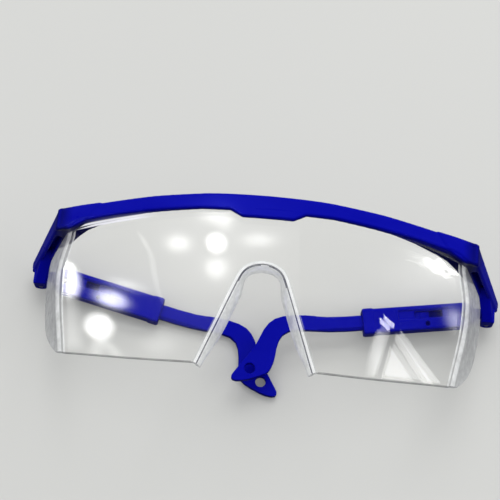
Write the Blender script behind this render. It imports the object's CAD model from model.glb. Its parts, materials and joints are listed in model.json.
import json
import math

import bmesh
import bpy
import numpy as np
from mathutils import Matrix, Vector
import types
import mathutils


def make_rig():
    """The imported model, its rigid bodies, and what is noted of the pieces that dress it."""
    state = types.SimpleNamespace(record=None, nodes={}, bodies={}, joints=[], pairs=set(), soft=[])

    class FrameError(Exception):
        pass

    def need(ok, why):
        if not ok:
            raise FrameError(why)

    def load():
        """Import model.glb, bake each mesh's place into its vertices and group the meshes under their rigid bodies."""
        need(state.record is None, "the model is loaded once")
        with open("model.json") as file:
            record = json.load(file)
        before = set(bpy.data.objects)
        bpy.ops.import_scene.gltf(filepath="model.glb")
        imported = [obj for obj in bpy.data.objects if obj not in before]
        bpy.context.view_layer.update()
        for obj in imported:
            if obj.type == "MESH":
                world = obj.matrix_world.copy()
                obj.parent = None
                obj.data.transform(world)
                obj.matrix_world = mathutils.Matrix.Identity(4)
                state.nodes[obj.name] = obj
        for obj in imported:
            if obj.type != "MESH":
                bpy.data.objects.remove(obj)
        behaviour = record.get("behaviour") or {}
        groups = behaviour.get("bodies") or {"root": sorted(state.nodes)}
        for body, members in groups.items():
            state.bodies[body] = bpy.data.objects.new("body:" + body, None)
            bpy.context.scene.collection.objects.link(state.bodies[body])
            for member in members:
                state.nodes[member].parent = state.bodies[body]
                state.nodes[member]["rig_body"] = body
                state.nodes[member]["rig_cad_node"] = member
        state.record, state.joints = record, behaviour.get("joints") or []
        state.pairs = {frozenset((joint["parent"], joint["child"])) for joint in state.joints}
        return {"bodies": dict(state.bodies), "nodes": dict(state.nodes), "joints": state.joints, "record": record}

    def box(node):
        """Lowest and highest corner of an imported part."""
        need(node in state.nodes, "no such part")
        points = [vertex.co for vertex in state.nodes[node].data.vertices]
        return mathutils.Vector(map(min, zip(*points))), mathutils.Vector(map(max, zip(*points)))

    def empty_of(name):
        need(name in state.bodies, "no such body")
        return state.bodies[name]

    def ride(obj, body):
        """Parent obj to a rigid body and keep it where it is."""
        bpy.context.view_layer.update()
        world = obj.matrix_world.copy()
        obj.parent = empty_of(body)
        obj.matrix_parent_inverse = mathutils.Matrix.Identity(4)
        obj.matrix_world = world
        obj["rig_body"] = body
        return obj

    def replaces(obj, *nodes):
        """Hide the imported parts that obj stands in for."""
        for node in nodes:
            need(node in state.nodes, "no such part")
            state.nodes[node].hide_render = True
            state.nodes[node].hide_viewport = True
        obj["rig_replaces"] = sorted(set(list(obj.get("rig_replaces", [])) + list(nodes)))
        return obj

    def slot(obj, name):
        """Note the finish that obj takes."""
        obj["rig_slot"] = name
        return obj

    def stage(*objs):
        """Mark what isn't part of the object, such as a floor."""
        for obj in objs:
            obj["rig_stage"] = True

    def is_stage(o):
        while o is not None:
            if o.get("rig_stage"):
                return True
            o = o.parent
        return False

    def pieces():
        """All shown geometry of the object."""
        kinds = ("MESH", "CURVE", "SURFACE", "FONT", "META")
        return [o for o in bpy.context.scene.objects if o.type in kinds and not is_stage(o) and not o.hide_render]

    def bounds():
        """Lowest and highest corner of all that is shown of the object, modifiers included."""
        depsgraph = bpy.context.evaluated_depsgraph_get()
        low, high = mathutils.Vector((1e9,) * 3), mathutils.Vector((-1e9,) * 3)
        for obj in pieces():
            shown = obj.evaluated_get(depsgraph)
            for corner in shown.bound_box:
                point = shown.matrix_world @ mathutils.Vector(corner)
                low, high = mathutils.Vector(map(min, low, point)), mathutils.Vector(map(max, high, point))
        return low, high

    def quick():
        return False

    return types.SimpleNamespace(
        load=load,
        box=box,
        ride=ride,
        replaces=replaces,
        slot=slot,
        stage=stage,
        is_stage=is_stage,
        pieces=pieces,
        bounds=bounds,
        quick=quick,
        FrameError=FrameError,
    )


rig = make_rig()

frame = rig.load()


def as_lists(b):
    return [[float(v) for v in corner] for corner in b]


cad_bounds = as_lists(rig.bounds())
MM = 0.001
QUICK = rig.quick()

scene = bpy.context.scene
scene.view_settings.view_transform = "Standard"
scene.view_settings.look = "None"
scene.cycles.max_bounces = 14
scene.cycles.transparent_max_bounces = 24
scene.cycles.transmission_bounces = 10
scene.cycles.caustics_reflective = False
scene.cycles.caustics_refractive = False
scene.cycles.sample_clamp_indirect = 4.0


# ------------------------------------------------------------------ node helpers
class Nodes:
    def __init__(self, name):
        self.mat = bpy.data.materials.new(name)
        self.mat.use_nodes = True
        self.tree = self.mat.node_tree
        self.tree.nodes.clear()
        self.out = self.add("ShaderNodeOutputMaterial")

    def add(self, kind, **props):
        n = self.tree.nodes.new(kind)
        for k, v in props.items():
            setattr(n, k, v)
        return n

    def link(self, a, b):
        self.tree.links.new(a, b)

    def value(self, node, socket, v):
        if hasattr(v, "links"):
            self.link(v, node.inputs[socket])
        else:
            node.inputs[socket].default_value = v

    def math(self, op, a, b=0.0, clamp=False):
        n = self.add("ShaderNodeMath", operation=op, use_clamp=clamp)
        self.value(n, 0, a)
        self.value(n, 1, b)
        return n.outputs[0]

    def noise(self, coords, scale, detail=3.0, rough=0.5, distortion=0.0):
        n = self.add("ShaderNodeTexNoise")
        self.link(coords, n.inputs["Vector"])
        n.inputs["Scale"].default_value = scale
        n.inputs["Detail"].default_value = detail
        n.inputs["Roughness"].default_value = rough
        n.inputs["Distortion"].default_value = distortion
        return n.outputs["Fac"]

    def mapping(self, coords, scale=(1, 1, 1), rot=(0, 0, 0)):
        n = self.add("ShaderNodeMapping")
        self.link(coords, n.inputs["Vector"])
        n.inputs["Scale"].default_value = scale
        n.inputs["Rotation"].default_value = rot
        return n.outputs["Vector"]

    def remap(self, v, a, b, c, d):
        n = self.add("ShaderNodeMapRange")
        self.link(v, n.inputs["Value"])
        for i, x in enumerate((a, b, c, d)):
            n.inputs[i + 1].default_value = x
        return n.outputs["Result"]

    def schlick(self, f0=0.045, normal=None):
        """Reflectance of a clear plastic surface, the same from inside and outside the thin sheet."""
        n = self.add("ShaderNodeLayerWeight")
        n.inputs["Blend"].default_value = 0.5
        if normal is not None:
            self.link(normal, n.inputs["Normal"])
        rise = self.math("POWER", n.outputs["Facing"], 5.0)
        return self.math("ADD", self.math("MULTIPLY", rise, 1.0 - f0), f0, True)

    def mix(self, fac, a, b):
        n = self.add("ShaderNodeMix", data_type="RGBA")
        self.value(n, 0, fac)
        for i, v in ((6, a), (7, b)):
            if hasattr(v, "links"):
                self.link(v, n.inputs[i])
            else:
                n.inputs[i].default_value = (*v, 1.0) if len(v) == 3 else v
        return n.outputs[2]


def blue_plastic(name, flow=(1, 1, 1), rot=(0, 0, 0), shade=1.0, gloss=0.0, web=False):
    """Deep blue injection-moulded plastic: flow marks along the piece, fine texture, lighter worn edges, a few scuffs."""
    m = Nodes(name)
    coords = m.add("ShaderNodeTexCoord").outputs["Object"]
    stretched = m.mapping(coords, flow, rot)
    flowmarks = m.noise(stretched, 260, 3, 0.55, 0.4)
    broad = m.noise(coords, 45, 2, 0.5)
    grain = m.noise(coords, 2600, 2, 0.6)
    scuff_src = m.noise(m.mapping(coords, (1.0, 5.0, 1.0), (0.3, 0.2, 0.7)), 420, 6, 0.7, 1.2)
    scuffs = m.remap(scuff_src, 0.66, 0.74, 0.0, 1.0)

    geo = m.add("ShaderNodeNewGeometry")
    edge = m.remap(geo.outputs["Pointiness"], 0.525, 0.62, 0.0, 1.0)
    hollow = m.remap(geo.outputs["Pointiness"], 0.40, 0.49, 1.0, 0.0)
    wear = m.math("MULTIPLY", edge, m.remap(m.noise(coords, 700, 4, 0.6), 0.35, 0.65, 0.35, 1.0), True)

    deep = (0.0002 * shade, 0.0004 * shade, 0.290 * shade)
    light = (0.0005 * shade, 0.0010 * shade, 0.385 * shade)
    base = m.mix(m.math("MULTIPLY", m.math("ADD", flowmarks, broad), 0.5, True), deep, light)
    base = m.mix(m.math("MULTIPLY", hollow, 0.45), base, (0.0002, 0.0003, 0.14))
    base = m.mix(m.math("MULTIPLY", wear, 0.55), base, (0.006, 0.010, 0.56))
    base = m.mix(m.math("MULTIPLY", scuffs, 0.12), base, (0.06, 0.07, 0.60))

    if web:
        # the deep corner webs behind the lens stay almost black
        xyz = m.add("ShaderNodeSeparateXYZ")
        m.link(coords, xyz.inputs[0])
        deep_in = m.math("MULTIPLY", m.remap(m.math("ABSOLUTE", xyz.outputs["X"]), 0.0690, 0.0735, 1.0, 0.0), m.remap(xyz.outputs["Z"], 0.0365, 0.0390, 1.0, 0.0), True)
        base = m.mix(m.math("MULTIPLY", deep_in, 0.88), base, (0.0005, 0.0007, 0.020))

    rough = m.math("ADD", m.remap(flowmarks, 0.3, 0.7, 0.27 - gloss, 0.40 - gloss), m.math("MULTIPLY", scuffs, 0.18), True)
    rough = m.math("ADD", rough, m.math("MULTIPLY", m.math("SUBTRACT", broad, 0.5), 0.12), True)

    bump1 = m.add("ShaderNodeBump")
    bump1.inputs["Strength"].default_value = 0.16
    bump1.inputs["Distance"].default_value = 0.00006
    m.link(flowmarks, bump1.inputs["Height"])
    bump2 = m.add("ShaderNodeBump")
    bump2.inputs["Strength"].default_value = 0.10
    bump2.inputs["Distance"].default_value = 0.00002
    m.link(grain, bump2.inputs["Height"])
    m.link(bump1.outputs["Normal"], bump2.inputs["Normal"])

    p = m.add("ShaderNodeBsdfPrincipled")
    m.link(base, p.inputs["Base Color"])
    m.link(rough, p.inputs["Roughness"])
    m.link(bump2.outputs["Normal"], p.inputs["Normal"])
    p.inputs["IOR"].default_value = 1.46
    p.inputs["Specular IOR Level"].default_value = 0.24
    p.inputs["Specular Tint"].default_value = (0.30, 0.36, 1.0, 1.0)
    p.inputs["Subsurface Weight"].default_value = 0.0
    p.inputs["Subsurface Radius"].default_value = (0.0002, 0.0002, 0.0012)
    p.inputs["Subsurface Scale"].default_value = 1.0
    m.link(p.outputs["BSDF"], m.out.inputs["Surface"])
    return m.mat


def clear_sheet(name, edge_dark=0.0):
    """Clear polycarbonate: thin-sheet transparency with Fresnel reflection, faint haze, hairline scratches and moulding ripple."""
    m = Nodes(name)
    coords = m.add("ShaderNodeTexCoord").outputs["Object"]
    ripple = m.noise(coords, 14, 1, 0.4)
    fine = m.noise(coords, 900, 3, 0.6)
    hair = m.remap(m.noise(m.mapping(coords, (1.0, 14.0, 1.0), (0, 0, 0.5)), 330, 5, 0.7, 0.6), 0.70, 0.78, 0.0, 1.0)
    dust = m.remap(m.noise(coords, 1500, 2, 0.5), 0.74, 0.80, 0.0, 1.0)

    bump = m.add("ShaderNodeBump")
    bump.inputs["Strength"].default_value = 0.5
    bump.inputs["Distance"].default_value = 0.00035
    m.link(ripple, bump.inputs["Height"])
    bump_fine = m.add("ShaderNodeBump")
    bump_fine.inputs["Strength"].default_value = 0.05
    bump_fine.inputs["Distance"].default_value = 0.00001
    m.link(fine, bump_fine.inputs["Height"])
    m.link(bump.outputs["Normal"], bump_fine.inputs["Normal"])

    fres = m.schlick(0.025, bump_fine.outputs["Normal"])

    gloss = m.add("ShaderNodeBsdfGlossy")
    m.link(m.remap(m.math("ADD", hair, dust, True), 0, 1, 0.011, 0.20), gloss.inputs["Roughness"])
    m.link(bump_fine.outputs["Normal"], gloss.inputs["Normal"])

    clear = m.add("ShaderNodeBsdfTransparent")
    clear.inputs["Color"].default_value = (1.045, 1.045, 1.04, 1)
    haze = m.add("ShaderNodeBsdfTranslucent")
    haze.inputs["Color"].default_value = (0.9, 0.92, 0.93, 1)
    body = m.add("ShaderNodeMixShader")
    m.link(m.math("ADD", m.math("MULTIPLY", m.math("ADD", hair, dust, True), 0.05), 0.0012), body.inputs[0])
    m.link(clear.outputs[0], body.inputs[1])
    m.link(haze.outputs[0], body.inputs[2])

    top = m.add("ShaderNodeMixShader")
    m.link(m.math("MINIMUM", fres, 0.14), top.inputs[0])
    m.link(body.outputs[0], top.inputs[1])
    m.link(gloss.outputs[0], top.inputs[2])
    # light gathers in a bright line where the sheet dips under the lip of the brow bar, on the side of the lamp
    xyz = m.add("ShaderNodeSeparateXYZ")
    m.link(coords, xyz.inputs[0])
    across = m.math("MULTIPLY", xyz.outputs["X"], -1000.0)
    up = m.math("SUBTRACT", m.math("MULTIPLY", xyz.outputs["Y"], 1000.0), 23.19)
    lip = m.math("SUBTRACT", -0.95, m.math("MULTIPLY", m.math("SUBTRACT", across, 36.0), 0.120))
    off = m.math("ABSOLUTE", m.math("SUBTRACT", up, lip))
    bright = m.math("MULTIPLY", m.remap(off, 0.28, 0.55, 1.0, 0.0), m.remap(across, 37.0, 44.0, 0.0, 1.0))
    shine = m.add("ShaderNodeEmission")
    shine.inputs["Color"].default_value = (0.93, 0.93, 1.0, 1)
    shine.inputs["Strength"].default_value = 0.9
    lined = m.add("ShaderNodeMixShader")
    m.link(m.math("MULTIPLY", bright, 0.9), lined.inputs[0])
    m.link(top.outputs[0], lined.inputs[1])
    m.link(shine.outputs[0], lined.inputs[2])
    top = lined
    # the sheet itself throws no shadow: only its edges, folds and nose flange do
    path = m.add("ShaderNodeLightPath")
    open_air = m.add("ShaderNodeBsdfTransparent")
    pick = m.add("ShaderNodeMixShader")
    m.link(m.math("MAXIMUM", path.outputs["Is Shadow Ray"], path.outputs["Is Diffuse Ray"]), pick.inputs[0])
    m.link(top.outputs[0], pick.inputs[1])
    m.link(open_air.outputs[0], pick.inputs[2])
    m.link(pick.outputs[0], m.out.inputs["Surface"])
    return m.mat


def thick_clear(name, density, tone, light=0.0, grazing=False):
    """Where the clear moulding is folded or seen along its wall it gathers light and turns milky."""
    m = Nodes(name)
    coords = m.add("ShaderNodeTexCoord").outputs["Object"]
    cloud = m.noise(coords, 260, 3, 0.6)
    fine = m.noise(coords, 1200, 2, 0.6)
    bump = m.add("ShaderNodeBump")
    bump.inputs["Strength"].default_value = 0.25
    bump.inputs["Distance"].default_value = 0.00004
    m.link(cloud, bump.inputs["Height"])
    milky = m.add("ShaderNodeBsdfDiffuse")
    m.link(m.mix(cloud, tuple(0.86 * c for c in tone), tone), milky.inputs["Color"])
    m.link(bump.outputs["Normal"], milky.inputs["Normal"])
    glow = m.add("ShaderNodeBsdfTranslucent")
    m.link(m.mix(cloud, tuple(0.86 * c for c in tone), tone), glow.inputs["Color"])
    soft = m.add("ShaderNodeMixShader")
    soft.inputs[0].default_value = 0.35
    m.link(milky.outputs[0], soft.inputs[1])
    m.link(glow.outputs[0], soft.inputs[2])
    piped = m.add("ShaderNodeEmission")
    m.link(m.mix(cloud, tuple(0.7 * c for c in tone), tone), piped.inputs["Color"])
    piped.inputs["Strength"].default_value = light
    lit = m.add("ShaderNodeAddShader")
    m.link(soft.outputs[0], lit.inputs[0])
    m.link(piped.outputs[0], lit.inputs[1])
    clear = m.add("ShaderNodeBsdfTransparent")
    clear.inputs["Color"].default_value = (0.97, 0.98, 0.975, 1)
    body = m.add("ShaderNodeMixShader")
    amount = m.remap(cloud, 0.3, 0.7, density * 0.8, min(1.0, density * 1.2))
    if grazing:
        slant = m.add("ShaderNodeLayerWeight")
        slant.inputs["Blend"].default_value = 0.5
        amount = m.math("MULTIPLY", amount, m.remap(slant.outputs["Facing"], 0.30, 0.58, 0.05, 1.0))
    m.link(amount, body.inputs[0])
    m.link(clear.outputs[0], body.inputs[1])
    m.link(lit.outputs[0], body.inputs[2])
    gloss = m.add("ShaderNodeBsdfGlossy")
    m.link(m.remap(fine, 0.3, 0.7, 0.06, 0.16), gloss.inputs["Roughness"])
    m.link(bump.outputs["Normal"], gloss.inputs["Normal"])
    fres = m.schlick(0.046)
    top = m.add("ShaderNodeMixShader")
    m.link(m.math("MINIMUM", fres, 0.25), top.inputs[0])
    m.link(body.outputs[0], top.inputs[1])
    m.link(gloss.outputs[0], top.inputs[2])
    m.link(top.outputs[0], m.out.inputs["Surface"])
    return m.mat


def clear_edge(name):
    """Cut and moulded edges of the clear sheet: they gather light, so they read brighter and denser than the sheet."""
    m = Nodes(name)
    coords = m.add("ShaderNodeTexCoord").outputs["Object"]
    n1 = m.noise(coords, 500, 3, 0.6)
    n2 = m.noise(m.mapping(coords, (1, 1, 1)), 90, 2, 0.5)
    bump = m.add("ShaderNodeBump")
    bump.inputs["Strength"].default_value = 0.2
    bump.inputs["Distance"].default_value = 0.00003
    m.link(n1, bump.inputs["Height"])
    gloss = m.add("ShaderNodeBsdfGlossy")
    gloss.inputs["Color"].default_value = (0.95, 0.96, 0.97, 1)
    m.link(m.remap(n1, 0.3, 0.7, 0.08, 0.20), gloss.inputs["Roughness"])
    m.link(bump.outputs["Normal"], gloss.inputs["Normal"])
    dark = m.add("ShaderNodeBsdfDiffuse")
    m.link(m.mix(n2, (0.42, 0.425, 0.43), (0.80, 0.81, 0.82)), dark.inputs["Color"])
    clear = m.add("ShaderNodeBsdfTransparent")
    clear.inputs["Color"].default_value = (0.97, 0.975, 0.98, 1)
    a = m.add("ShaderNodeMixShader")
    m.link(m.remap(n2, 0.3, 0.7, 0.14, 0.26), a.inputs[0])
    m.link(clear.outputs[0], a.inputs[1])
    m.link(dark.outputs[0], a.inputs[2])
    fres = m.schlick(0.046)
    top = m.add("ShaderNodeMixShader")
    m.link(m.math("MINIMUM", m.math("ADD", fres, 0.04, True), 0.22), top.inputs[0])
    m.link(a.outputs[0], top.inputs[1])
    m.link(gloss.outputs[0], top.inputs[2])
    m.link(top.outputs[0], m.out.inputs["Surface"])
    return m.mat


def steel(name):
    m = Nodes(name)
    coords = m.add("ShaderNodeTexCoord").outputs["Object"]
    lines = m.noise(m.mapping(coords, (1, 12, 1)), 1500, 3, 0.6)
    tone = m.noise(coords, 400, 3, 0.5)
    bump = m.add("ShaderNodeBump")
    bump.inputs["Strength"].default_value = 0.3
    bump.inputs["Distance"].default_value = 0.00001
    m.link(lines, bump.inputs["Height"])
    p = m.add("ShaderNodeBsdfPrincipled")
    m.link(m.mix(tone, (0.42, 0.43, 0.45), (0.62, 0.62, 0.64)), p.inputs["Base Color"])
    p.inputs["Metallic"].default_value = 1.0
    m.link(m.remap(lines, 0.3, 0.7, 0.28, 0.45), p.inputs["Roughness"])
    m.link(bump.outputs["Normal"], p.inputs["Normal"])
    m.link(p.outputs["BSDF"], m.out.inputs["Surface"])
    return m.mat


# ------------------------------------------------------------------ mesh helpers
def moulded_copy(node, name, voxel, smooth=4, factor=0.5):
    """The CAD solid remeshed finely and relaxed, so every edge gets a small moulded radius."""
    src = frame["nodes"][node]
    me = src.data.copy()
    me.name = name
    ob = bpy.data.objects.new(name, me)
    scene.collection.objects.link(ob)
    bm = bmesh.new()
    bm.from_mesh(me)
    bmesh.ops.remove_doubles(bm, verts=bm.verts, dist=1e-7)
    bmesh.ops.triangulate(bm, faces=bm.faces)
    bm.to_mesh(me)
    bm.free()
    # work in millimetres: the voxel grid is more reliable at that scale
    me.transform(Matrix.Scale(1000.0, 4))
    mod = ob.modifiers.new("remesh", "REMESH")
    mod.mode = "VOXEL"
    mod.voxel_size = voxel * (2.0 if QUICK else 1.0)
    mod.adaptivity = 0.0
    mod.use_smooth_shade = True
    sm = ob.modifiers.new("relax", "SMOOTH")
    sm.iterations = smooth
    sm.factor = factor
    deps = bpy.context.evaluated_depsgraph_get()
    baked = bpy.data.meshes.new_from_object(ob.evaluated_get(deps), depsgraph=deps)
    ob.modifiers.clear()
    baked.transform(Matrix.Scale(0.001, 4))
    old = ob.data
    ob.data = baked
    baked.name = name
    bpy.data.meshes.remove(old)
    for p in ob.data.polygons:
        p.use_smooth = True
    return ob


def set_material(ob, *mats):
    # clearing the list also forgets which face uses which slot
    slots = [p.material_index for p in ob.data.polygons]
    ob.data.materials.clear()
    for m in mats:
        ob.data.materials.append(m)
    if len(mats) > 1:
        ob.data.polygons.foreach_set("material_index", slots)


def sharpen(me, degrees):
    bm = bmesh.new()
    bm.from_mesh(me)
    lim = math.radians(degrees)
    for e in bm.edges:
        e.smooth = not (len(e.link_faces) == 2 and e.calc_face_angle(0.0) > lim)
    for f in bm.faces:
        f.smooth = True
    bm.to_mesh(me)
    bm.free()


# ------------------------------------------------------------------ lens, built as one continuous clear moulding
# plan and outline in the wearing frame (mm): X across, Y back, Z up
LENS_FRONT, LENS_RADIUS, LENS_THICK = 2.2, 140.0, 2.0
LENS_CORNER, LENS_BEND, SHIELD_FLARE, SHIELD_LENGTH = 67.0, 1.1, 22.5, 22.0
LENS_TOP = [(0, 4.3), (20, 3.7), (34.5, 1.9), (51, -1.2), (60, -2.9), (66, -4.4)]
LENS_BOTTOM = [(19.3, -51.3), (30, -51.1), (41, -50.6), (53, -49.6), (66, -48.2)]
SHIELD_TOP = [(0, -4.7), (3, -5.3), (10, -6.4), (19, -8.0), (22, -9.6)]
SHIELD_BOTTOM = [(0, -48.1), (3, -47.5), (7, -45.2), (10.5, -42.2), (15, -37), (18.5, -31), (20.6, -26.5), (22, -21.5)]
NOSE_ARCH = [(0, -16.4), (2.2, -16.65), (4.2, -17.35), (6.1, -18.6), (7.4, -20.3), (8.4, -22.5), (9.6, -25.6), (11.5, -30.7), (13.5, -36.2), (15.8, -42.4), (18, -48.3), (19.15, -51.35)]
NOSE_DEPTH = [(-51.4, 3.8), (-48.5, 4.2), (-45, 5.4), (-41, 6.8), (-36, 7.4), (-16.4, 8.6)]
NOSE_WALL, NOSE_DRAFT = 1.6, 2.1
CORNER = 1.0
FOLD_LINE = [(-60, -2.9), (-52, -2.4), (-48, -1.9), (-44, -1.25), (-40, -0.5), (-36, 0.25), (-32, 0.9), (-28, 1.45), (-24, 1.8), (-20, 1.9), (-16, 1.55), (-12, 0.85), (-9, 0.3), (-7, 0)]
FOLD_FROM, FOLD_FADE = 34.0, 17.0


def smooth_table(rows):
    """Monotone cubic through the rows."""
    xs = np.array([r[0] for r in rows], float)
    ys = np.array([r[1] for r in rows], float)
    h = np.diff(xs)
    d = np.diff(ys) / h
    m = np.zeros(len(xs))
    m[0], m[-1] = d[0], d[-1]
    for i in range(1, len(xs) - 1):
        if d[i - 1] * d[i] > 0:
            w1, w2 = 2 * h[i] + h[i - 1], h[i] + 2 * h[i - 1]
            m[i] = (w1 + w2) / (w1 / d[i - 1] + w2 / d[i])
    if rows[0][0] == 0 and rows is NOSE_ARCH:
        m[0] = 0.0

    def f(x):
        x = min(max(x, xs[0]), xs[-1])
        i = min(int(np.searchsorted(xs, x, side="right")) - 1, len(h) - 1)
        t = (x - xs[i]) / h[i]
        return float((2 * t**3 - 3 * t**2 + 1) * ys[i] + (t**3 - 2 * t**2 + t) * h[i] * m[i] + (-2 * t**3 + 3 * t**2) * ys[i + 1] + (t**3 - t**2) * h[i] * m[i + 1])

    return f


lens_top, lens_bottom = smooth_table(LENS_TOP), smooth_table(LENS_BOTTOM)
shield_top, shield_bottom = smooth_table(SHIELD_TOP), smooth_table(SHIELD_BOTTOM)
arch = smooth_table(NOSE_ARCH)
nose_depth = smooth_table(NOSE_DEPTH)


def lens_y(x):
    return LENS_FRONT + LENS_RADIUS - math.sqrt(LENS_RADIUS**2 - x * x)


fold_line = smooth_table(FOLD_LINE)


def ease(t):
    t = min(1.0, max(0.0, t))
    return t * t * (3 - 2 * t)


def bulge(x, y, z):
    """The fold between front and side shield is not straight: it bulges at mid height and closes in at the bottom."""
    along = ease((abs(x) - FOLD_FROM) / (LENS_CORNER - 2 - FOLD_FROM))
    back = 1 - ease((y - lens_y(LENS_CORNER) - 1) / FOLD_FADE)
    return x + math.copysign(1.0, x) * along * back * fold_line(z), y, z


def to_row(p, shift):
    return Vector(((p[0] + shift[0]) * MM, (p[2] + shift[1]) * MM, (-p[1] + shift[2]) * MM))


def build_lens():
    lo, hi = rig.box("lens")
    # the row frame is the wearing frame turned onto its back and shifted; the lens box gives the shift
    shift = (
        (lo.x + hi.x) / 2 / MM,
        hi.y / MM - 4.3,
        hi.z / MM + (LENS_FRONT - 0.2),
    )
    cols = []
    n_arch = 44
    # spacing along the arch follows its own length, so its steep legs stay smooth
    xs = np.linspace(0, 19.15, 400)
    zs = np.array([arch(x) for x in xs])
    s = np.concatenate([[0], np.cumsum(np.hypot(np.diff(xs), np.diff(zs)))])
    arch_x = np.interp(np.linspace(0, s[-1], n_arch), s, xs)
    for x in arch_x:
        cols.append(dict(kind="arch", x=float(x)))
    for x in np.linspace(19.15, LENS_CORNER - LENS_BEND, 42)[1:]:
        cols.append(dict(kind="front", x=float(x)))
    f = math.radians(SHIELD_FLARE)
    cx, cy = LENS_CORNER, lens_y(LENS_CORNER)
    a = (LENS_CORNER - LENS_BEND, lens_y(LENS_CORNER - LENS_BEND))
    b = (cx + LENS_BEND * math.sin(f), cy + LENS_BEND * math.cos(f))
    for t in np.linspace(0, 1, 9)[1:]:
        q = [(1 - t) ** 2 * a[i] + 2 * t * (1 - t) * (cx, cy)[i] + t * t * b[i] for i in (0, 1)]
        d = [2 * (1 - t) * ((cx, cy)[i] - a[i]) + 2 * t * (b[i] - (cx, cy)[i]) for i in (0, 1)]
        l = math.hypot(*d)
        cols.append(dict(kind="bend", p=q, n=(-d[1] / l, d[0] / l), s=float(t) * LENS_BEND))
    for sv in np.concatenate([np.linspace(LENS_BEND, SHIELD_LENGTH, 24)[1:]]):
        cols.append(dict(kind="shield", p=(cx + sv * math.sin(f), cy + sv * math.cos(f)), n=(-math.cos(f), math.sin(f)), s=float(sv)))

    full = []
    for c in reversed(cols[1:]):
        full.append((c, -1.0))
    for c in cols:
        full.append((c, 1.0))

    rows = 14
    r = 0.35
    verts, quads, mats = [], [], []

    def put(x, y, z):
        verts.append(to_row(bulge(x, y, z), shift))
        return len(verts) - 1

    columns = []
    for c, sg in full:
        if c["kind"] in ("arch", "front"):
            x = c["x"]
            slope = x / math.sqrt(LENS_RADIUS**2 - x * x)
            l = math.hypot(1, slope)
            p, n = (x, lens_y(x)), (-slope / l, 1 / l)
            top = lens_top(x)
            bot = arch(x) if c["kind"] == "arch" else lens_bottom(x)
        else:
            p, n = c["p"], c["n"]
            top, bot = shield_top(c["s"]), shield_bottom(c["s"])
        end = c is cols[-1]
        front_low, back_low = (p[0], bot), (p[0], bot)
        nx = nz = 0.0
        if c["kind"] == "arch":
            e = 1e-3
            if x < 1e-6:
                tx, tz = 1.0, 0.0
            else:
                tx, tz = 2 * e, arch(min(x + e, 19.15)) - arch(x - e)
                if x + e > 19.15:
                    tx = e + (19.15 - x)
                l = math.hypot(tx, tz)
                tx, tz = tx / l, tz / l
            nx, nz = tz, -tx
        ring = []
        # up the front face; the first strip is the thickness of the nose flange behind it
        for j in range(rows + 1):
            t = 0.0 if j == 0 else ((j - 1) / (rows - 1))
            t = t * t * (3 - 2 * t) * 0.35 + t * 0.65
            if c["kind"] == "arch":
                off = NOSE_WALL - 0.5 - CORNER if j == 0 else -0.35 * (1 - t) ** 2
                fx = x + nx * off
                z0 = bot + nz * (off if j == 0 else -0.35)
                z = z0 + (top - r - z0) * (0 if j == 0 else t)
                ring.append((fx, lens_y(fx), z))
            else:
                z0 = bot + r + (0.8 if j else 0.0)
                ring.append((p[0], p[1], z0 + (top - r - z0) * (t if j else 0.0)))
        n_front = len(ring)
        # over the top rim
        for k in (1, 2, 3):
            ang = math.pi * k / 4
            d = LENS_THICK / 2 * (1 - math.cos(ang))
            ring.append((p[0] + n[0] * d, p[1] + n[1] * d, top - r + r * math.sin(ang)))
        n_top = len(ring)
        # down the back face
        for j in range(rows + 1):
            t = 1 - j / rows
            t = t * t * (3 - 2 * t) * 0.35 + t * 0.65
            if c["kind"] == "arch":
                bz = bot - nz * 1.1
                bx = x - nx * 1.1 * (1 - t) ** 2
                z = bz + (top - r - bz) * t
                ring.append((bx, lens_y(bx) + LENS_THICK, z))
            else:
                z = bot + r + (top - bot - 2 * r) * t
                ring.append((p[0] + n[0] * LENS_THICK, p[1] + n[1] * LENS_THICK, z))
        n_back = len(ring)
        # bottom: plain rounded rim, or the nose flange
        if c["kind"] == "arch":
            depth = nose_depth(bot)
            lean = NOSE_DRAFT * min(1.0, max(0.0, (-17 - bot) / 9))
            lean = lean * lean * (3 - 2 * lean / NOSE_DRAFT) / NOSE_DRAFT if lean > 0 else 0.0
            lean *= min(1.0, depth / 7.4)
            y0 = lens_y(x)
            yb = y0 + depth

            def wall(off, y, x=x, bot=bot, nx=nx, nz=nz, y0=y0, depth=depth, lean=lean):
                q = off + lean * min(1.0, max(0.0, (y - y0) / depth))
                return (x + nx * q, y, bot + nz * q)

            ring.append(wall(-0.5 - 0.18, y0 + LENS_THICK + 0.18))
            ring.append(wall(-0.5, y0 + LENS_THICK + 0.6))
            ring.append(wall(-0.5, y0 + LENS_THICK + (yb - y0 - LENS_THICK) * 0.55))
            ring.append(wall(-0.5, yb - 0.55))
            for k in (1, 2, 3):
                ang = math.pi * k / 4
                ring.append(wall(-0.5 + NOSE_WALL * (1 - math.cos(ang)) / 2, yb - 0.55 + 0.55 * math.sin(ang)))
            ring.append(wall(NOSE_WALL - 0.5, yb - 0.55))
            ring.append(wall(NOSE_WALL - 0.5, y0 + (yb - y0) * 0.55))
            ring.append(wall(NOSE_WALL - 0.5, y0 + CORNER))
            for ang in (67.5, 45.0, 22.5):
                ang = math.radians(ang)
                ring.append(wall(NOSE_WALL - 0.5 - CORNER + CORNER * math.sin(ang), y0 + CORNER * (1 - math.cos(ang))))
        else:
            for k in (1, 2, 3):
                ang = math.pi * k / 4
                d = LENS_THICK / 2 * (1 + math.cos(ang))
                ring.append((p[0] + n[0] * d, p[1] + n[1] * d, bot + r - r * math.sin(ang)))
        idx = [put(sg * q[0], q[1], q[2]) for q in ring]
        columns.append(dict(idx=idx, kind=c["kind"], nf=n_front, nt=n_top, nb=n_back, sg=sg, c=c))

    def bridge(ia, ib, mat):
        for k in range(len(ia) - 1):
            quads.append((ia[k], ib[k], ib[k + 1], ia[k + 1]))
            mats.append(mat(k) if callable(mat) else mat)

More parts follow.
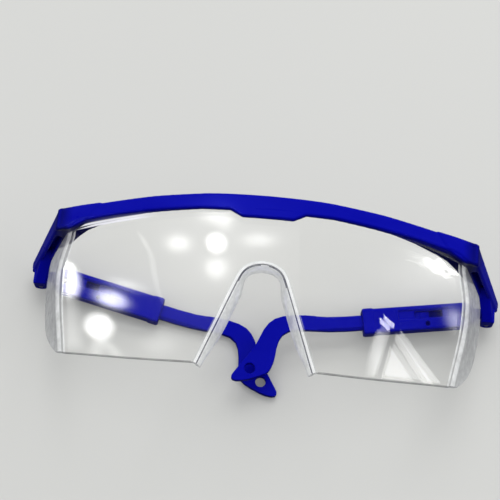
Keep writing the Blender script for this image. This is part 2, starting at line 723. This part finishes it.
    def is_fold(col):
        return col["kind"] == "bend" or (col["kind"] == "shield" and col["c"]["s"] < 1.9) or (col["kind"] == "front" and col["c"]["x"] > 65.2)

    for a, b in zip(columns[:-1], columns[1:]):
        nf, nt, nb = a["nf"], a["nt"], a["nb"]
        arch_pair = a["kind"] == "arch" and b["kind"] == "arch"
        sheet = 3 if is_fold(a) and is_fold(b) else 6 if "shield" in (a["kind"], b["kind"]) else 0
        bridge(a["idx"][:nf], b["idx"][:nf], (lambda k: 2 if k == 0 else 0) if arch_pair else sheet)
        bridge(a["idx"][nf - 1 : nt + 1], b["idx"][nf - 1 : nt + 1], 1)
        bridge(a["idx"][nt:nb], b["idx"][nt:nb], sheet)
        ta, tb = a["idx"][nb - 1 :] + [a["idx"][0]], b["idx"][nb - 1 :] + [b["idx"][0]]
        if len(ta) == len(tb):
            for k in range(len(ta) - 1):
                quads.append((ta[k], tb[k], tb[k + 1], ta[k + 1]))
                if arch_pair:
                    crown = 1.6 < a["c"]["x"] < 8.6 and k in (11, 12)
                    mats.append(4 if k == 12 or crown else 7 if k < 8 else 2)
                else:
                    mats.append(5 if a["kind"] == "front" else 1)
        else:
            # foot of the nose flange meets the plain rim: the flange end is a small cap
            long, short = (ta, tb) if len(ta) > len(tb) else (tb, ta)
            m = len(short)
            mid = [long[0]]
            for k in range(1, m - 1):
                va, vb = verts[long[0]], verts[long[-1]]
                verts.append(va.lerp(vb, k / (m - 1)))
                mid.append(len(verts) - 1)
            mid.append(long[-1])
            first, second = (mid, short) if long is ta else (short, mid)
            for k in range(m - 1):
                quads.append((first[k], second[k], second[k + 1], first[k + 1]))
                mats.append(1)
            cap = list(long) + list(reversed(mid[1:-1]))
            if long is tb:
                cap.reverse()
            quads.append(tuple(cap))
            mats.append(1)
    # close the two rear ends
    for col, flip in ((columns[0], True), (columns[-1], False)):
        loop = list(col["idx"])
        if flip:
            loop.reverse()
        quads.append(tuple(loop))
        mats.append(1)
    keep = list(zip(quads, mats))
    me = bpy.data.meshes.new("lens_clear")
    me.from_pydata([tuple(v) for v in verts], [], [q for q, _ in keep])
    me.validate()
    bm = bmesh.new()
    bm.from_mesh(me)
    bm.faces.ensure_lookup_table()
    if len(bm.faces) == len(keep):
        for fce, (_, m) in zip(bm.faces, keep):
            fce.material_index = m
    bmesh.ops.remove_doubles(bm, verts=bm.verts, dist=2e-6)
    big = [fce for fce in bm.faces if len(fce.verts) > 4]
    bmesh.ops.triangulate(bm, faces=big)
    bmesh.ops.recalc_face_normals(bm, faces=bm.faces)
    bm.to_mesh(me)
    bm.free()
    ob = bpy.data.objects.new("lens_clear", me)
    scene.collection.objects.link(ob)
    sharpen(me, 38)
    return ob


lens = build_lens()
set_material(
    lens,
    clear_sheet("clear_polycarbonate"),
    clear_edge("clear_polycarbonate_edge"),
    thick_clear("clear_polycarbonate_flange", 0.64, (0.95, 0.955, 0.95), 0.42),
    thick_clear("clear_polycarbonate_fold", 0.50, (0.95, 0.955, 0.95), 0.50),
    thick_clear("clear_polycarbonate_line", 0.70, (0.05, 0.05, 0.12)),
    thick_clear("clear_polycarbonate_rim", 0.42, (0.13, 0.135, 0.14)),
    thick_clear("clear_polycarbonate_shield", 0.50, (0.80, 0.80, 0.80), 0.24, grazing=True),
    thick_clear("clear_polycarbonate_wall", 0.16, (0.92, 0.925, 0.92), 0.30),
)
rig.replaces(lens, "lens")
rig.slot(lens, "clear_polycarbonate")
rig.ride(lens, "front")

# ------------------------------------------------------------------ blue mouldings
brow = moulded_copy("brow_bar", "brow_bar_moulding", 0.26, 5)
set_material(brow, blue_plastic("blue_brow_bar", (0.12, 1.0, 1.0), (0, 0, 0), web=True))
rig.replaces(brow, "brow_bar")
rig.slot(brow, "blue_plastic")
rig.ride(brow, "front")

for side in ("left", "right"):
    turn = 0.22 if side == "left" else -0.16
    for node, piece, body, voxel, it in (
        ("temple_sleeve", "temple_sleeve_moulding", "sleeve", 0.17, 4),
        ("ear_slider", "ear_slider_moulding", "slider", 0.17, 9),
        ("hinge_link", "hinge_link_moulding", "link", 0.13, 3),
    ):
        ob = moulded_copy(f"{side}_{node}", f"{side}_{piece}", voxel, it)
        set_material(ob, blue_plastic(f"blue_{side}_{node}", (0.12, 1.0, 1.0), (0, 0, turn)))
        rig.replaces(ob, f"{side}_{node}")
        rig.slot(ob, "blue_plastic")
        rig.ride(ob, f"{side}_{body}")
    for node in ("hinge_pin", "tilt_pin"):
        set_material(frame["nodes"][f"{side}_{node}"], steel(f"steel_{side}_{node}"))

# ------------------------------------------------------------------ stage: pale plain floor
floor_me = bpy.data.meshes.new("floor")
floor_me.from_pydata([(-6, -6, 0), (6, -6, 0), (6, 6, 0), (-6, 6, 0)], [], [(0, 1, 2, 3)])
floor = bpy.data.objects.new("floor", floor_me)
scene.collection.objects.link(floor)
floor.location.z = -0.0002
m = Nodes("floor_pale")
coords = m.add("ShaderNodeTexCoord").outputs["Object"]
p = m.add("ShaderNodeBsdfPrincipled")
m.link(m.mix(m.noise(coords, 4.0, 2, 0.5), (0.512, 0.511, 0.491), (0.540, 0.539, 0.519)), p.inputs["Base Color"])
p.inputs["Roughness"].default_value = 0.75
p.inputs["Specular IOR Level"].default_value = 0.15
p.inputs["Emission Color"].default_value = (0.95, 0.95, 0.94, 1)
p.inputs["Emission Strength"].default_value = 0.088
# what the floor throws back up is kept low, so undersides stay deep
bounce = m.add("ShaderNodeBsdfDiffuse")
bounce.inputs["Color"].default_value = (0.17, 0.175, 0.18, 1)
path = m.add("ShaderNodeLightPath")
pick = m.add("ShaderNodeMixShader")
m.link(m.mix(path.outputs["Is Glossy Ray"], (0.17, 0.175, 0.18), (0.06, 0.062, 0.066)), bounce.inputs["Color"])
m.link(m.math("MAXIMUM", path.outputs["Is Diffuse Ray"], path.outputs["Is Glossy Ray"]), pick.inputs[0])
m.link(p.outputs["BSDF"], pick.inputs[1])
m.link(bounce.outputs[0], pick.inputs[2])
m.link(pick.outputs[0], m.out.inputs["Surface"])
floor_me.materials.append(m.mat)
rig.stage(floor)

# ------------------------------------------------------------------ light
world = bpy.data.worlds.new("studio")
scene.world = world
world.use_nodes = True
world.cycles.sampling_method = "NONE"
wt = world.node_tree
bg = wt.nodes["Background"]
bg.inputs["Color"].default_value = (0.97, 0.985, 1.0, 1)
# the light comes mostly from above and from behind the brow; reflections see a darker room, pale near the horizon
wc = wt.nodes.new("ShaderNodeTexCoord")


def world_ramp(direction, a, b, c, d):
    dot = wt.nodes.new("ShaderNodeVectorMath")
    dot.operation = "DOT_PRODUCT"
    wt.links.new(wc.outputs["Generated"], dot.inputs[0])
    dot.inputs[1].default_value = direction
    r = wt.nodes.new("ShaderNodeMapRange")
    r.interpolation_type = "SMOOTHSTEP"
    for i, v in enumerate((a, b, c, d)):
        r.inputs[i + 1].default_value = v
    wt.links.new(dot.outputs["Value"], r.inputs["Value"])
    return r.outputs["Result"]


wt.links.new(world_ramp((-0.12, 0.60, 0.79), -0.25, 0.95, 0.06, 1.15), bg.inputs["Strength"])
dim = wt.nodes.new("ShaderNodeBackground")
dim.inputs["Color"].default_value = (0.96, 0.98, 1.0, 1)
wt.links.new(world_ramp((0.0, 0.0, 1.0), 0.02, 0.60, 0.62, 0.07), dim.inputs["Strength"])
lp = wt.nodes.new("ShaderNodeLightPath")
plain = wt.nodes.new("ShaderNodeBackground")
plain.inputs["Color"].default_value = (0.93, 0.945, 0.93, 1)
plain.inputs["Strength"].default_value = 0.72
seen = wt.nodes.new("ShaderNodeMixShader")
wt.links.new(lp.outputs["Is Camera Ray"], seen.inputs[0])
wt.links.new(bg.outputs[0], seen.inputs[1])
wt.links.new(plain.outputs[0], seen.inputs[2])
wmix = wt.nodes.new("ShaderNodeMixShader")
wt.links.new(lp.outputs["Is Glossy Ray"], wmix.inputs[0])
wt.links.new(seen.outputs[0], wmix.inputs[1])
wt.links.new(dim.outputs[0], wmix.inputs[2])
wt.links.new(wmix.outputs[0], wt.nodes["World Output"].inputs["Surface"])


def area(name, loc, target, size, power, shape="RECTANGLE", color=(1, 1, 1)):
    data = bpy.data.lights.new(name, "AREA")
    data.shape = shape
    data.size, data.size_y = size
    data.energy = power
    data.color = color
    ob = bpy.data.objects.new(name, data)
    scene.collection.objects.link(ob)
    ob.location = loc
    d = Vector(target) - Vector(loc)
    ob.rotation_euler = d.to_track_quat("-Z", "Y").to_euler()
    return ob


key = area("key_overhead", (0.10, 0.75, 1.05), (0, 0.02, 0), (0.8, 0.8), 7.0)
key.visible_glossy = False
fill = area("fill_right", (0.9, -0.1, 0.9), (0, 0, 0), (0.7, 0.5), 1.6)
fill.visible_glossy = False

# ------------------------------------------------------------------ camera
cam_data = bpy.data.cameras.new("camera")
cam = bpy.data.objects.new("camera", cam_data)
scene.collection.objects.link(cam)
RIGHT = Vector((0.995823, 0.0913, -0.000432))
UP = Vector((-0.086186, 0.941581, 0.325571))
BACK = Vector((0.030131, -0.324174, 0.945517))
LOC = Vector((0.009816, -0.147828, 0.511372))
rot = Matrix((RIGHT, UP, BACK)).transposed()
cam.matrix_world = Matrix.Translation(LOC) @ rot.to_4x4()
cam_data.sensor_width = 36.0
cam_data.lens = 1500.931 / 500 * 36.0
cam_data.clip_start = 0.01
scene.camera = cam

# ------------------------------------------------------------------ soft boxes and lamps seen in the lens
# each is placed where the curved front of the lens mirrors it to the wanted place in the picture
lens_lo, lens_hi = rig.box("lens")
LSHIFT = ((lens_lo.x + lens_hi.x) / 2, lens_hi.y - 4.3 * MM, lens_hi.z + (LENS_FRONT - 0.2) * MM)


def flat_x(x, z):
    """Where the bulged front panel point (x, z) of the wearing frame would be without its bulge, mm."""
    x0 = x
    for _ in range(2):
        x0 += x - bulge(x0, 0.0, z)[0]
    return x0


def front_depth(x, z):
    """How far back the bulged front panel lies there."""
    return lens_y(min(max(flat_x(x, z), -LENS_CORNER), LENS_CORNER))


def mirror_point(u, v, reach):
    """Follow the sight line of picture point (u, v) to the lens front and on along its reflection."""
    f = 1500.931
    d = (RIGHT * ((u - 250) / f) + UP * ((250 - v) / f) - BACK).normalized()
    # wearing frame, mm: x across, y back, z up
    ox, oy, oz = (LOC.x - LSHIFT[0]) / MM, -(LOC.z - LSHIFT[2]) / MM, (LOC.y - LSHIFT[1]) / MM
    dx, dy, dz = d.x, -d.z, d.y
    t = (8.0 - oy) / dy
    for _ in range(3):
        t = (front_depth(ox + dx * t, oz + dz * t) - oy) / dy
    x, z = ox + dx * t, oz + dz * t
    e = 0.4
    sx = (front_depth(x + e, z) - front_depth(x - e, z)) / (2 * e)
    sz = (front_depth(x, z + e) - front_depth(x, z - e)) / (2 * e)
    n = Vector((sx, sz, 1.0)).normalized()
    p = LOC + d * (t * MM)
    on_front = abs(flat_x(x, z)) < LENS_CORNER - LENS_BEND
    return p + (d - n * (2 * d.dot(n))) * reach, on_front


def glow_material(name, strength, reach):
    """Light that only the lens front sees: a ray counts when it has come exactly as far as the card was placed."""
    m = Nodes(name)
    att = m.add("ShaderNodeAttribute", attribute_name="glow")
    run = m.add("ShaderNodeLightPath").outputs["Ray Length"]
    near = m.math("LESS_THAN", m.math("ABSOLUTE", m.math("SUBTRACT", run, reach)), 0.0035)
    e = m.add("ShaderNodeEmission")
    e.inputs["Color"].default_value = (1.0, 1.0, 0.99, 1)
    m.link(m.math("MULTIPLY", m.math("MULTIPLY", att.outputs["Fac"], strength), near), e.inputs["Strength"])
    clear = m.add("ShaderNodeBsdfTransparent")
    top = m.add("ShaderNodeAddShader")
    m.link(e.outputs[0], top.inputs[0])
    m.link(clear.outputs[0], top.inputs[1])
    m.link(top.outputs[0], m.out.inputs["Surface"])
    return m.mat


def softbox(name, shape, strength, reach, box, step):
    """A sheet of light whose brightness over the picture is the function shape(u, v)."""
    u0, v0, u1, v1 = box
    nu, nv = int((u1 - u0) / step) + 1, int((v1 - v0) / step) + 1
    us, vs = np.linspace(u0, u1, nu), np.linspace(v0, v1, nv)
    found = [mirror_point(u, v, reach) for v in vs for u in us]
    pts, seen = [tuple(p) for p, _ in found], [ok for _, ok in found]
    faces = [(j * nu + i, j * nu + i + 1, (j + 1) * nu + i + 1, (j + 1) * nu + i) for j in range(nv - 1) for i in range(nu - 1)]
    glow = [shape(u, v) for v in vs for u in us]
    faces = [q for q in faces if max(glow[k] for k in q) > 0.004 and all(seen[k] for k in q)]
    me = bpy.data.meshes.new(name)
    me.from_pydata(pts, [], faces)
    att = me.attributes.new("glow", "FLOAT", "POINT")
    att.data.foreach_set("value", np.array(glow, np.float32))
    ob = bpy.data.objects.new(name, me)
    scene.collection.objects.link(ob)
    me.materials.append(glow_material(name, strength, reach))
    ob.visible_camera = False
    ob.visible_diffuse = False
    ob.visible_shadow = False
    ob.visible_transmission = False
    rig.stage(ob)
    return ob


def spot(u, v, cu, cv, ru, rv, edge=0.25, turn=0.0):
    c, s = math.cos(math.radians(turn)), math.sin(math.radians(turn))
    a, b = ((u - cu) * c + (v - cv) * s) / ru, (-(u - cu) * s + (v - cv) * c) / rv
    q = math.hypot(a, b)
    return 1.0 / (1.0 + math.exp(min(60, (q - 1) / (edge * 0.35))))


def poly(u, v, pts, soft):
    """1 inside the convex outline, falling off over soft pixels outside."""
    d = 1e9
    n = len(pts)
    for i in range(n):
        (x0, y0), (x1, y1) = pts[i], pts[(i + 1) % n]
        l = math.hypot(x1 - x0, y1 - y0)
        d = min(d, ((x1 - x0) * (v - y0) - (y1 - y0) * (u - x0)) / l)
    return 1.0 / (1.0 + math.exp(min(60, max(-60, -d / soft * 4))))


def line(u, v, x0, y0, x1, y1, width, edge=0.5):
    dx, dy = x1 - x0, y1 - y0
    t = min(1.0, max(0.0, ((u - x0) * dx + (v - y0) * dy) / (dx * dx + dy * dy)))
    q = math.hypot(u - x0 - dx * t, v - y0 - dy * t) / width
    return math.exp(-q * q) * (1 - edge * abs(2 * t - 1) ** 2)


def lamps(u, v):
    g = 1.15 * spot(u, v, 215.7, 241, 9.6, 8.0, 0.30)
    g += 1.15 * spot(u, v, 96.7, 324, 13.2, 11.8, 0.30)
    g += 0.54 * spot(u, v, 177, 241, 9, 6, 1.1)
    g += 0.42 * spot(u, v, 213, 213, 11, 6, 1.1) + 0.30 * spot(u, v, 224, 217, 7, 9, 1.2)
    g += 0.50 * spot(u, v, 216, 266, 9, 8, 1.1)
    g += 0.36 * spot(u, v, 259, 238, 13, 5, 1.1)
    g += 0.10 * spot(u, v, 214, 243, 46, 42, 1.6)
    g += 1.25 * spot(u, v, 109, 297, 14, 7, 0.6, 14) + 0.35 * spot(u, v, 124, 283, 15, 4, 1.0, 12)
    g += 0.30 * line(u, v, 98, 336, 92, 356, 5) + 0.22 * line(u, v, 100, 338, 118, 356, 5)
    g += 0.16 * spot(u, v, 158, 343, 14, 8, 1.2)
    g += 0.16 * line(u, v, 138, 232, 149, 252, 1.8) + 0.18 * line(u, v, 149, 252, 155, 285, 1.8) + 0.12 * line(u, v, 155, 285, 162, 302, 1.6)
    return g


def window(u, v):
    g = 2.4 * poly(u, v, [(384, 314.2), (394.5, 324.2), (393.2, 328.6), (384, 320)], 0.5)
    left = poly(u, v, [(381.5, 326), (389.5, 332), (389.5, 335), (377, 374.5), (367, 374), (372, 346)], 0.6)
    g += 0.62 * left * min(1.0, max(0.0, (u - 365) / 14.0))
    g += 0.66 * poly(u, v, [(394.2, 342.5), (418.6, 379.6), (384.6, 375.4)], 0.6)
    g += 0.85 * poly(u, v, [(400.5, 330), (404, 333.5), (440.5, 383.6), (427.8, 381.2), (399.2, 338)], 0.6)
    return g


def corner_glare(u, v):
    g = 0.40 * spot(u, v, 444, 259, 22, 11, 1.1, 28)
    g += 0.10 * spot(u, v, 428, 276, 32, 14, 1.2, 10)
    g += 1.8 * poly(u, v, [(52, 260), (68, 262), (75, 272), (76, 284), (72, 293), (50, 299)], 4)
    g += 0.22 * poly(u, v, [(50, 296), (74, 296), (78, 345), (50, 350)], 5)
    g += 0.55 * spot(u, v, 459, 320, 6, 12, 0.8, -30)
    return g


def veil(u, v):
    """Wide dim panel: the middle of the lens reads a little lighter than its sides."""
    return 1.0 * poly(u, v, [(158, 212), (296, 212), (300, 300), (160, 300)], 16)


if not QUICK:
    fine = 1.5
else:
    fine = 3.0
softbox("lamp_spots", lamps, 21.0, 0.030, (56, 190, 300, 372), fine)
softbox("window_light", window, 13.5, 0.032, (356, 304, 450, 392), fine / 2)
softbox("corner_glare", corner_glare, 20.0, 0.034, (50, 225, 480, 360), 3.0)
softbox("ceiling_panel", veil, 0.10, 0.036, (30, 190, 340, 380), 6.0)

# ------------------------------------------------------------------ the floor follows the lowest point
def settle_floor(*_args):
    """With the temples unfolded the object reaches lower, so the floor drops under it."""
    bpy.context.view_layer.update()
    bpy.data.objects["floor"].location.z = min(0.0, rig.bounds()[0].z) - 0.0002


bpy.app.handlers.render_pre.append(settle_floor)

# ------------------------------------------------------------------ sizes
bpy.context.view_layer.update()
with open("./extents.json", "w") as fh:
    json.dump({"cad": cad_bounds, "visual": as_lists(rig.bounds())}, fh)
